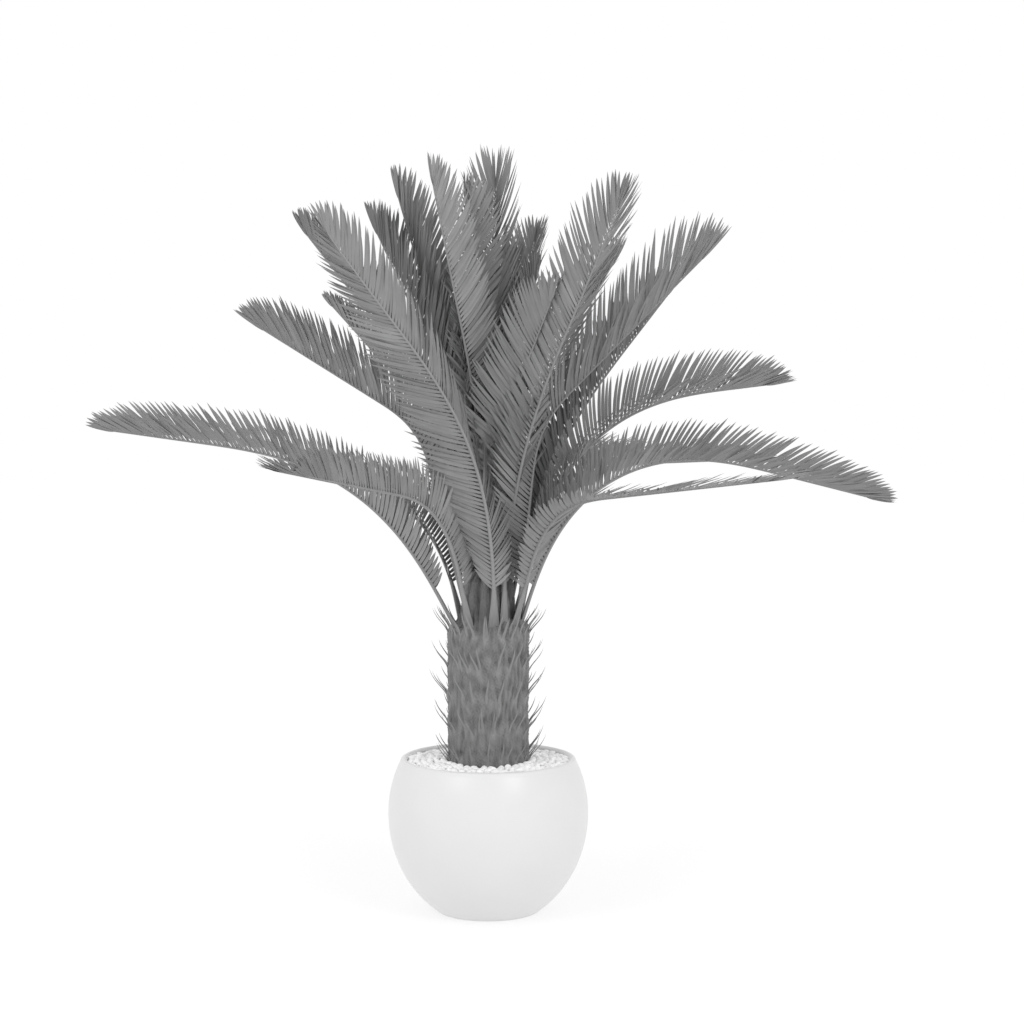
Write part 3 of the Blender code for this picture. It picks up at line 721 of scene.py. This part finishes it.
def make_ribs(sizes, foot_colour):
    """Ribs as a grooved section carried along each rib's line, widest and deepest at the foot."""
    section = np.array(RIB_SECTION)
    share = np.linspace(0.0, 1.0, RIB_STATIONS) ** RIB_CROWDING
    deep = np.interp(share, RIB_DEPTH_SHARES, RIB_DEPTHS)
    points = []
    for frond in FRONDS:
        point, along, side, up = read_line(rib_line(frond), share)
        point[0] -= along[0] * FOOT_DEPTH
        half = rib_half_width(sizes, frond, share)
        rings = (point[:, None] + side[:, None] * (half[:, None] * section[:, 0])[..., None]
                 + up[:, None] * (deep[:, None] * section[:, 1])[..., None])
        points.append(rings)
    points = np.array(points)
    count, stations, corners, _ = points.shape
    across = np.broadcast_to(np.linspace(0, 1, corners), (count, stations, corners))
    repeats = np.linspace(0, 1, stations)[None, :, None] * STREAK_REPEATS
    lengthwise = np.broadcast_to(repeats + np.arange(count)[:, None, None], across.shape)
    uv = np.stack([across, lengthwise], -1).reshape(-1, 2)
    colour = (1.0 - RIB_PALENESS) * np.array(sizes.darkest) + RIB_PALENESS * np.array(sizes.palest)
    clear = np.broadcast_to(np.clip(share / FOOT_SHARE, 0, 1)[None, :, None], across.shape)
    obj = piece("frond_ribs", points.reshape(-1, 3), tube_faces(count, stations, corners),
                [rib_material(colour, foot_colour)], uv=uv, relief=clear)
    dress(obj, "frond", *[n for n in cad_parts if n.startswith("frond_")])


# Trunk


def bract_places(rng):
    """Angle, level and size of each bract.

    They stand in ragged tiers, some of them in pairs, and a last row of short ones covers the
    feet of the stalks.
    """
    places = []
    for tier in range(COLLAR_TIERS):
        middle = COLLAR_TOP - COLLAR_PITCH * (COLLAR_TIERS - 1 - tier)
        phase = math.pi / COLLAR_TEETH * (tier % 2 + 1)
        for k in range(COLLAR_TEETH):
            angle = phase + 2 * math.pi * k / COLLAR_TEETH + rng.normal(0, 0.07)
            places.append((angle, middle + rng.normal(-3 * MM, 4 * MM), rng.uniform(0.7, 1.05)))
            if rng.uniform() < PAIRED_SHARE:
                places.append((angle + rng.normal(0, 0.12), middle + rng.normal(-6 * MM, 6 * MM),
                               rng.uniform(0.45, 0.8)))
    for k in range(COLLAR_TEETH):
        angle = 2 * math.pi * k / COLLAR_TEETH + rng.normal(0, 0.1)
        places.append((angle, COLLAR_TOP + rng.uniform(2, 9) * MM, rng.uniform(0.5, 0.85)))
    return np.array(places).T[..., None]


def turned_away(angle, where):
    """How far angles lie from another, between minus and plus half a turn."""
    return np.mod(angle - where + math.pi, 2 * math.pi) - math.pi


def bell(across, size_across, along, size_along):
    """A bell curve over two distances, 1 at its middle."""
    return np.exp(-(across / size_across) ** 2 - (along / size_along) ** 2)


def fibre_relief(rng, angle, level):
    """Upright folds bent to and fro by slow waves, lumps, and short wrinkles, and their sum."""
    bent = angle + FOLD_BEND * waves(rng, 5, (2, 6), (20, 90), angle, level)
    folds = waves(rng, 10, (16, 44), (5, 70), bent, level)
    lumps = waves(rng, 14, (5, 18), (60, 260), bent, level)
    fine = waves(rng, 40, (30, 120), (200, 1500), bent, level)
    return lumps, 0.55 * folds + 0.5 * lumps + 0.42 * fine


def make_bark(sizes):
    """Bark as a turned grid, from its foot over a shoulder to the crown's heart.

    The relief of a matted fibre lies along the profile's normal. Round each bract's foot the
    bark swells by a bell curve, and it sinks into a pocket just above. The shoulder climbs
    a little way up each stalk of the low ring, and the heart is folded like a bundle of stalks.
    The colour mark on the bark is painted shade: darker in the pockets and hollows of the
    relief and in the heart's grooves, paler on the swells, and darker towards the heart.
    """
    rng = np.random.default_rng(8)
    angle = np.linspace(0, 2 * math.pi, BARK_COLUMNS, endpoint=False)[None]
    corners = np.array([(sizes.radius, TRUNK_FOOT), (sizes.radius, WALL_TOP), *SHOULDER])
    reach = np.append(0.0, np.cumsum(np.linalg.norm(np.diff(corners, axis=0), axis=1)))
    length = np.linspace(0.0, reach[-1], BARK_ROWS)[:, None]
    radius, height = [np.interp(length, reach, corners[:, k]) for k in range(2)]
    slope = unit(np.concatenate([np.gradient(radius, axis=0), np.gradient(height, axis=0)], 1))
    level = TRUNK_FOOT + length + 0 * angle
    lumps, fibre = fibre_relief(rng, angle, level)
    swell = np.zeros_like(level)
    pocket = np.zeros_like(level)
    for where, middle, size in np.moveaxis(bract_places(np.random.default_rng(BRACT_SEED))[..., 0], 1, 0):
        away = turned_away(angle, where) * sizes.radius
        swell += size * bell(away, SWELL_SIZE[0], level - middle + SWELL_DROP, SWELL_SIZE[1])
        pocket += size * bell(away, POCKET_SIZE[0], level - middle - POCKET_RISE, POCKET_SIZE[1])
    heart = np.interp(length, reach[[4, 7]], (0, 1))
    stalks = np.abs(np.sin(0.5 * HEART_STALKS * angle + HEART_TURN * heart))
    relief = (sizes.tier_depth * (swell - POCKET_DEPTH * pocket) + sizes.ridge * fibre
              + HEART_GROOVE * (stalks - HEART_MEAN) * heart) * np.clip(radius / FLAT_WITHIN, 0, 1)
    sheath = sum(bell(turned_away(angle, math.radians(f.azimuth)) * SEATS["low"], SHEATH_WIDTH, 0, 1)
                 for f in FRONDS if f.seat == "low")
    climb = SHEATH_HEIGHT * np.interp(length, reach[1:6], (0, 0.6, 1, 1, 0))
    height = height + climb * (sheath * (1 + 0.35 * lumps) - 0.4) - relief * slope[:, :1]
    radius = radius + relief * slope[:, 1:]
    points = np.stack([radius * np.cos(angle), radius * np.sin(angle), height], -1).reshape(-1, 3)
    poles = np.array([[0, 0, TRUNK_FOOT], [0, 0, corners[-1, 1] + MM]])
    # Painted shade: darker towards the crown's heart, in the grooves between its stalks and in the hollows
    # of the relief, paler on the swells
    painted_heart_shade = np.interp(length, reach[[1, 3, 5]], (1, 0.8, HEART_SHADE))
    painted_shade = np.clip(0.5 + relief / DARK_TO_PALE, 0, 1) * painted_heart_shade + 0.5 * heart * stalks ** 2
    painted_shade = np.append(painted_shade.ravel(), [HEART_SHADE] * 2)
    obj = piece("trunk_bark", np.vstack([points, poles]), turned_faces(BARK_ROWS, BARK_COLUMNS),
                [bark_material(sizes.colour)], relief=painted_shade, sharp=75.0)
    dress(obj, "trunk", "trunk")


def make_bracts(sizes):
    """Bracts as flat tubes along a curve that hugs the bark, then hooks out and up.

    The curve is a cubic one through the foot, two handles and the tip: a point is the sum of
    the four, weighted by (1-k)^3, 3k(1-k)^2, 3k^2(1-k) and k^3.
    """
    rng = np.random.default_rng(BRACT_SEED)
    angle, level, size = bract_places(rng)
    count = len(angle)
    out = np.concatenate([np.cos(angle), np.sin(angle), 0 * angle], 1)
    round_ = np.concatenate([-np.sin(angle), np.cos(angle), 0 * angle], 1)
    rise = np.array([0.0, 0.0, 1.0])
    skin = sizes.radius + BRACT_SEAT * sizes.tier_depth
    sway = rng.normal(0, BRACT_SWAY, (count, 1)) * size
    foot = out * (skin - BRACT_SINK) + rise * (level - BRACT_FOOT)
    first = out * (skin + 1.2 * MM) + rise * (level + 2 * MM)
    second = (out * (skin + 0.72 * TOOTH_OUT * size) + rise * (level + 0.22 * TOOTH_UP * size)
              + 0.4 * sway * round_)
    tip = out * (skin + TOOTH_OUT * size) + rise * (level + TOOTH_UP * size) + sway * round_
    k = np.linspace(0, 1, BRACT_STATIONS)[None, :, None]
    curve = ((1 - k) ** 3 * foot[:, None] + 3 * k * (1 - k) ** 2 * first[:, None]
             + 3 * k ** 2 * (1 - k) * second[:, None] + k ** 3 * tip[:, None])
    tangent = unit(np.gradient(curve, axis=1))
    side = unit(round_[:, None] - (round_[:, None] * tangent).sum(-1, keepdims=True) * tangent)
    face = np.cross(tangent, side)
    half = np.interp(k, BRACT_SHARES, BRACT_HALF_WIDTHS) * (0.75 + 0.25 * size[:, None])
    turn = np.linspace(0, 2 * math.pi, BRACT_CORNERS, endpoint=False)
    rings = (curve[:, :, None] + side[:, :, None] * (half * np.cos(turn))[..., None]
             + face[:, :, None] * (BRACT_FLATNESS * half * np.sin(turn))[..., None])
    across = np.broadcast_to(np.linspace(0, 1, BRACT_CORNERS), rings.shape[:3])
    lengthwise = np.broadcast_to(k[..., 0][..., None] + 0 * across, across.shape)
    uv = np.stack([across + np.arange(count)[:, None, None], lengthwise], -1).reshape(-1, 2)
    obj = piece("bract_points", rings.reshape(-1, 3), tube_faces(count, BRACT_STATIONS, BRACT_CORNERS),
                [bract_material(sizes.bract)], uv=uv)
    dress(obj, "bract", *[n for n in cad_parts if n.startswith("bract_collar")])


# Pebbles


def turn_about(angle, axis):
    """Rotation matrix about one of the three axes."""
    a, b = [k for k in range(3) if k != axis]
    matrix = np.eye(3)
    matrix[a, a] = matrix[b, b] = math.cos(angle)
    matrix[a, b] = math.sin(angle)
    matrix[b, a] = -math.sin(angle)
    return matrix


def unit_ball():
    """Points of a ball as rows from its lower to its upper end, and its two poles."""
    polar = np.linspace(math.pi, 0, STONE_ROWS + 2)[1:-1, None]
    around = np.linspace(0, 2 * math.pi, STONE_COLUMNS, endpoint=False)[None]
    level = np.cos(polar) + 0 * around
    rows = np.stack([np.sin(polar) * np.cos(around), np.sin(polar) * np.sin(around), level], -1)
    return np.vstack([rows.reshape(-1, 3), [[0, 0, -1], [0, 0, 1]]])


def stone(ball, radius, rng):
    """A ball pushed in and out by a wave across it, squashed, turned, tipped and turned again."""
    size = radius * rng.uniform(0.82, 1.12)
    wave = np.cos(ball @ rng.normal(0, 2.4, 3) + rng.uniform(0, 6))[:, None]
    shape = ball * (1 + STONE_BULGE * wave)
    shape = shape * (1.0, rng.uniform(0.78, 0.98), rng.uniform(0.58, 0.75)) * size
    spin = rng.uniform(0, 2 * math.pi)
    tilt = rng.normal(0, 0.3)
    lie = rng.uniform(0, 2 * math.pi)
    return shape @ turn_about(spin, 2) @ turn_about(tilt, 0) @ turn_about(lie, 2)


def make_pebbles(sizes, pot):
    """Pebbles in rings and two layers, in a low mound towards the trunk."""
    rng = np.random.default_rng(31)
    ball = unit_ball()
    inner = TRUNK_EDGE + 0.72 * sizes.radius
    outer = bore_radius(pot, sizes.level) - 0.92 * sizes.radius
    stones = []
    for layer, drop in enumerate(STONE_LAYERS):
        for row in range(sizes.rings - layer):
            ring = inner + (outer - inner) * (row + 0.5 * layer) / (sizes.rings - 1)
            mound = MOUND * (outer - ring) / (outer - inner)
            count = int(2 * math.pi * ring / (STONE_SPACING * sizes.radius))
            for k in range(count):
                angle = 2 * math.pi * (k + 0.5 * row + rng.uniform(-0.16, 0.16)) / count
                far = ring + rng.uniform(-1.6, 1.6) * MM
                high = sizes.level + mound - drop * sizes.radius + rng.uniform(-1.4, 1.2) * MM
                place = (far * math.cos(angle), far * math.sin(angle), high)
                stones.append(stone(ball, sizes.radius, rng) + place)
    points = np.array(stones)
    count, each, _ = points.shape
    start = np.arange(count)[:, None, None] * each
    faces = [(f[None] + start).reshape(-1, f.shape[1]) for f in turned_faces(STONE_ROWS, STONE_COLUMNS)]
    tones = rng.integers(0, len(STONE_TINTS), count)
    slots = np.concatenate([np.repeat(tones, len(f) // count) for f in faces])
    materials = [pebble_material("pebble_tone_%d" % k, tint(sizes.colour, STONE_TINTS[k])[:3])
                 for k in range(len(STONE_TINTS))]
    obj = piece("pebble_stones", points.reshape(-1, 3), faces, materials, slots)
    dress(obj, "pebbles", "pebbles")


# Pot


def pot_radius(sizes, height):
    """Outer radius of the pot: two half ellipses that meet at its widest level."""
    span = np.where(height < POT_BELLY_LEVEL, POT_LOWER_SPAN, POT_UPPER_SPAN)
    return sizes.belly * np.sqrt(1.0 - ((height - POT_BELLY_LEVEL) / span) ** 2)


def bore_radius(sizes, height):
    return pot_radius(sizes, height) - sizes.wall


def make_pot(sizes):
    """Pot as a turned profile: underside, outer wall, half-round lip, inner wall and floor."""
    lip_level = sizes.height - sizes.lip
    wall = np.linspace(POT_FOOT_ROUND, lip_level, POT_WALL_ROWS)
    outer = np.stack([pot_radius(sizes, wall), wall], 1)
    foot = outer[0, 0]
    under = np.array([[0.6 * foot, 0.0], [foot - 2.4 * MM, 0.0], [foot - 0.7 * MM, 0.25 * MM]])
    turn = np.linspace(0, math.pi, POT_LIP_ROWS)[1:-1]
    crown = pot_radius(sizes, lip_level) - 0.5 * sizes.wall
    lip = np.stack([crown + 0.5 * sizes.wall * np.cos(turn), lip_level + sizes.lip * np.sin(turn)], 1)
    bore = np.linspace(lip_level, POT_FLOOR, POT_BORE_ROWS)
    inner = np.stack([bore_radius(sizes, bore), bore], 1)
    profile = np.vstack([under, outer, lip, inner])
    angle = np.linspace(0, 2 * math.pi, POT_COLUMNS, endpoint=False)
    radius, height = profile[:, :1], profile[:, 1:]
    points = np.stack([radius * np.cos(angle), radius * np.sin(angle), height + 0 * angle], -1)
    poles = np.array([[0, 0, 0], [0, 0, POT_FLOOR]])
    obj = piece("pot_shell", np.vstack([points.reshape(-1, 3), poles]),
                turned_faces(len(profile), POT_COLUMNS), [glaze_material(sizes.colour)], sharp=50.0)
    dress(obj, "pot", "pot")


def make_filler(colour):
    """The CAD filling keeps its shape and gets a gritty finish."""
    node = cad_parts["pot_fill"]
    node.data.materials.clear()
    node.data.materials.append(filler_material(colour))


# Studio


def area_light(name, power, size, place, target):
    light = bpy.data.lights.new(name, "AREA")
    light.energy = power
    light.shape = "DISK"
    light.size = size
    obj = bpy.data.objects.new(name, light)
    obj.location = place
    obj.rotation_euler = (Vector(target) - Vector(place)).to_track_quat("-Z", "Y").to_euler()
    bpy.context.scene.collection.objects.link(obj)


def make_stage(sizes):
    """Round pale floor, white surroundings, two soft lights in front and the camera."""
    angle = np.linspace(0, 2 * math.pi, FLOOR_CORNERS, endpoint=False)
    rim = np.stack([sizes.floor * np.cos(angle), sizes.floor * np.sin(angle), 0 * angle - FLOOR_DROP], 1)
    floor = piece("floor", rim, [np.arange(FLOOR_CORNERS)[None]], [floor_material(sizes.colour, sizes.glow)])
    scene = bpy.context.scene
    world = scene.world or bpy.data.worlds.new("studio")
    scene.world = world
    world.use_nodes = True
    background = world.node_tree.nodes["Background"]
    background.inputs["Color"].default_value = (1.0, 1.0, 1.0, 1.0)
    background.inputs["Strength"].default_value = 1.0
    area_light("light_left", 16.0, 1.3, (-1.9, -2.3, 2.5), (0, 0, 0.5))
    area_light("light_right", 20.0, 1.3, (1.7, -2.5, 2.3), (0, 0, 0.5))
    scene.view_settings.view_transform = "Standard"
    camera = bpy.data.cameras.new("camera")
    camera.lens = LENS
    camera.sensor_width = SENSOR
    camera.clip_end = 60.0
    obj = bpy.data.objects.new("camera", camera)
    obj.location = EYE
    obj.rotation_euler = (math.radians(90.0 - PITCH_DOWN), 0.0, 0.0)
    scene.collection.objects.link(obj)
    scene.camera = obj


# Operators


class SAGO_OT_pot(bpy.types.Operator):
    """White pot and its filling"""
    bl_idname = "sago.pot"
    bl_label = "Pot"

    def execute(self, context):
        make_pot(context.scene.sago_pot)
        make_filler(context.scene.sago_pebbles.grit)
        return {"FINISHED"}


class SAGO_OT_pebbles(bpy.types.Operator):
    """White pebbles round the trunk"""
    bl_idname = "sago.pebbles"
    bl_label = "Pebbles"

    def execute(self, context):
        make_pebbles(context.scene.sago_pebbles, context.scene.sago_pot)
        return {"FINISHED"}


class SAGO_OT_bark(bpy.types.Operator):
    """Trunk with the relief of its bark"""
    bl_idname = "sago.bark"
    bl_label = "Bark"

    def execute(self, context):
        make_bark(context.scene.sago_trunk)
        return {"FINISHED"}


class SAGO_OT_bracts(bpy.types.Operator):
    """Pointed bracts in tiers round the trunk"""
    bl_idname = "sago.bracts"
    bl_label = "Bracts"

    def execute(self, context):
        make_bracts(context.scene.sago_trunk)
        return {"FINISHED"}


class SAGO_OT_leaflets(bpy.types.Operator):
    """Leaflets of the low, middle and top fronds"""
    bl_idname = "sago.leaflets"
    bl_label = "Leaflets"

    def execute(self, context):
        sizes = context.scene.sago_fronds
        materials = leaf_tones(sizes)
        for ring in SEATS:
            make_leaflets(sizes, ring, materials)
        return {"FINISHED"}


class SAGO_OT_ribs(bpy.types.Operator):
    """Stalks and ribs of all fronds"""
    bl_idname = "sago.ribs"
    bl_label = "Ribs"

    def execute(self, context):
        make_ribs(context.scene.sago_fronds, context.scene.sago_trunk.colour)
        return {"FINISHED"}


class SAGO_OT_stage(bpy.types.Operator):
    """Floor, lights and camera"""
    bl_idname = "sago.stage"
    bl_label = "Studio"

    def execute(self, context):
        make_stage(context.scene.sago_stage)
        return {"FINISHED"}


class SAGO_PT_panel(bpy.types.Panel):
    """Sizes, colours and steps of the palm"""
    bl_idname = "SAGO_PT_panel"
    bl_label = "Sago palm"
    bl_space_type = "VIEW_3D"
    bl_region_type = "UI"
    bl_category = "Sago palm"

    def draw(self, context):
        for name in GROUPS:
            box = self.layout.box()
            group = getattr(context.scene, name)
            for key in group.bl_rna.properties.keys():
                if key not in ("rna_type", "name"):
                    box.prop(group, key)
        for operator in OPERATORS:
            self.layout.operator(operator.bl_idname)


GROUPS = {"sago_pot": PotSizes, "sago_pebbles": PebbleSizes, "sago_trunk": TrunkSizes,
          "sago_fronds": FrondSizes, "sago_stage": StageSizes}
OPERATORS = (SAGO_OT_pot, SAGO_OT_pebbles, SAGO_OT_bark, SAGO_OT_bracts, SAGO_OT_leaflets, SAGO_OT_ribs,
             SAGO_OT_stage)


def register():
    for name, group in GROUPS.items():
        bpy.utils.register_class(group)
        setattr(bpy.types.Scene, name, PointerProperty(type=group))
    for operator in OPERATORS:
        bpy.utils.register_class(operator)
    bpy.utils.register_class(SAGO_PT_panel)


def unregister():
    bpy.utils.unregister_class(SAGO_PT_panel)
    for operator in reversed(OPERATORS):
        bpy.utils.unregister_class(operator)
    for name, group in GROUPS.items():
        delattr(bpy.types.Scene, name)
        bpy.utils.unregister_class(group)


def main():
    register()
    for operator in OPERATORS:
        group, step = operator.bl_idname.split(".")
        getattr(getattr(bpy.ops, group), step)()


if __name__ == "__main__":
    main()
